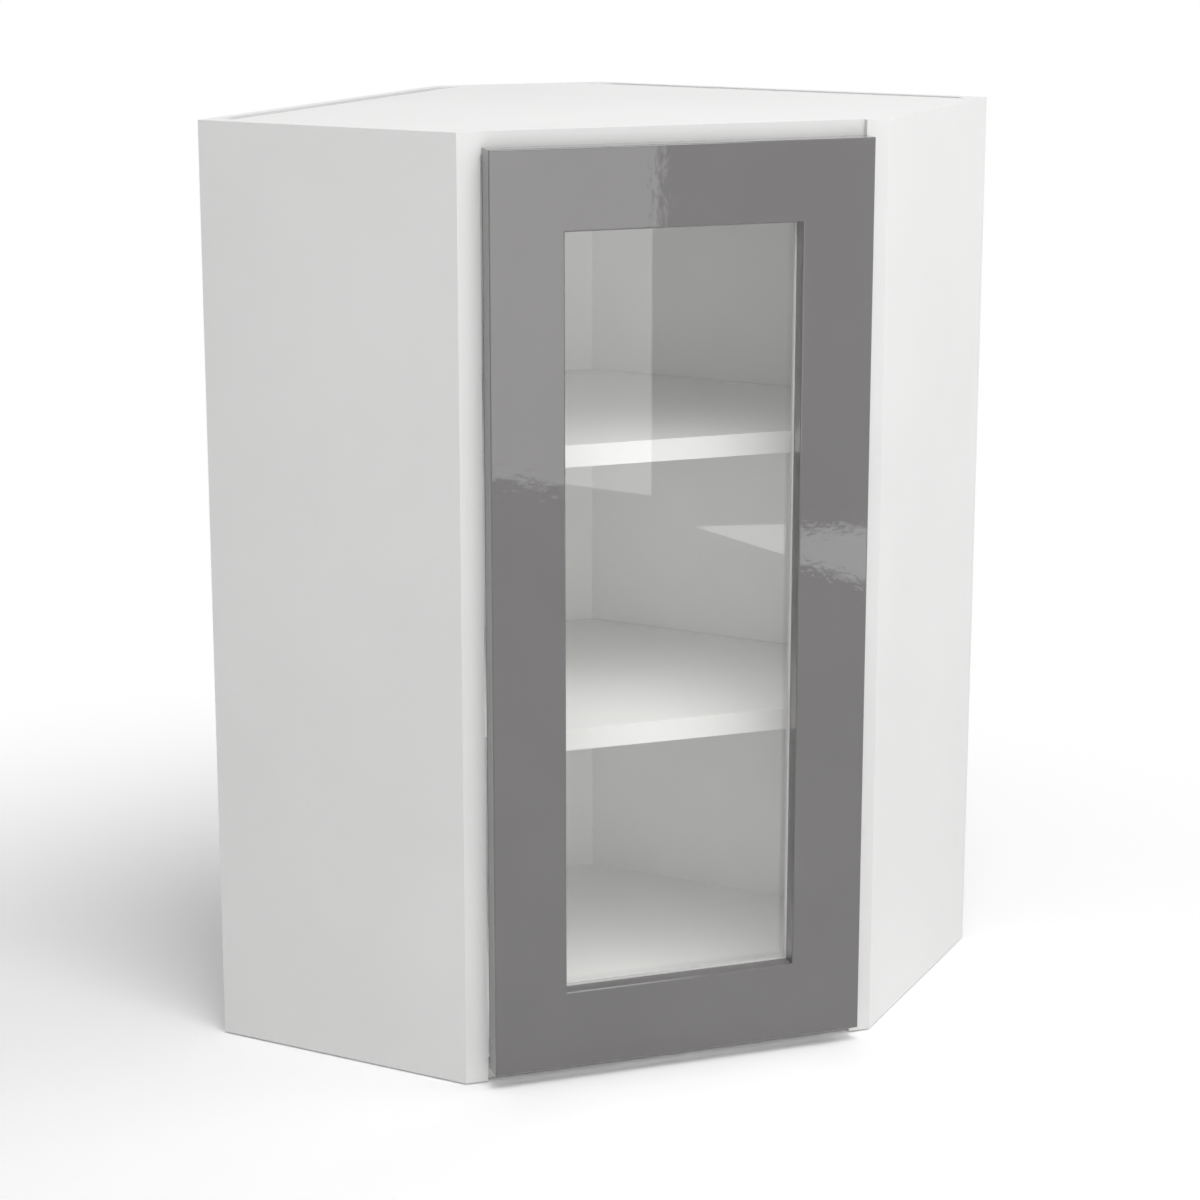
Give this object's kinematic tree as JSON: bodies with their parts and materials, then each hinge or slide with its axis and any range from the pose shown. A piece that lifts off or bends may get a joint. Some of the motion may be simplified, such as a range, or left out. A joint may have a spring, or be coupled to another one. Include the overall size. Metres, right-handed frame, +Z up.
{
  "type": "corner wall cabinet",
  "caption": "Diagonal corner wall cabinet with a glazed gloss door on concealed hinges, shelves, captured backs and hanging rails.",
  "frame": {"origin": "centre of the bounding box's underside, on the surface the cabinet stands on", "axes": "-Y out of the door, +X to the right seen from the front, +Z up; the two walls lie at 45 degrees to X and Y"},
  "size_m": [0.8202, 0.5374, 0.92],
  "materials": {
    "white_board": "white melamine-faced board, satin",
    "back_board": "white painted hardboard",
    "dowel_wood": "raw beech",
    "cast_zinc": "cast zinc, satin",
    "fastener_steel": "zinc-plated steel",
    "hinge_steel": "nickel-plated pressed steel",
    "door_gloss": "grey high-gloss lacquer on fibreboard",
    "glass": "clear float glass",
    "seal": "soft white glazing seal",
    "bead_grey": "grey satin plastic"
  },
  "bodies": {
    "cabinet": {"left_side_panel": "white_board", "right_side_panel": "white_board", "top_panel": "white_board", "bottom_panel": "white_board", "corner_board": "white_board", "left_back_panel": "back_board", "right_back_panel": "back_board", "left_top_rail": "white_board", "right_top_rail": "white_board", "left_bottom_rail": "white_board", "right_bottom_rail": "white_board", "lower_shelf": "white_board", "upper_shelf": "white_board", "lower_shelf_pins": "fastener_steel", "upper_shelf_pins": "fastener_steel", "panel_dowels": "dowel_wood", "corner_dowels": "dowel_wood", "rail_dowels": "dowel_wood", "cam_discs": "cast_zinc", "cam_bolts": "fastener_steel", "back_nails": "fastener_steel", "upper_hinge_plate": "hinge_steel", "lower_hinge_plate": "hinge_steel", "plate_screws": "fastener_steel", "upper_hinge_arm": "hinge_steel", "lower_hinge_arm": "hinge_steel", "arm_screws": "fastener_steel", "arm_pins": "fastener_steel"},
    "hinge_links": {"upper_hinge_link": "hinge_steel", "lower_hinge_link": "hinge_steel"},
    "door": {"door_frame": "door_gloss", "glass_pane": "glass", "glass_seal": "seal", "glass_beads": "bead_grey", "bead_screws": "fastener_steel", "upper_hinge_cup": "hinge_steel", "lower_hinge_cup": "hinge_steel", "cup_screws": "fastener_steel", "cup_pins": "fastener_steel"}
  },
  "joints": [
    {"name": "link_swing", "type": "hinge", "parent": "cabinet", "child": "hinge_links", "pos_m": [0.18453, -0.23868, 0.46], "axis": [0, 0, 1], "range_deg": [0, 24]},
    {"name": "door_turn", "type": "hinge", "parent": "hinge_links", "child": "door", "pos_m": [0.18053, -0.25468, 0.46], "axis": [0, 0, 1], "range_deg": [0, 68]}
  ],
  "couplings": [
    {"joint": "link_swing", "follows": "door_turn", "ratio": 0.3529}
  ]
}
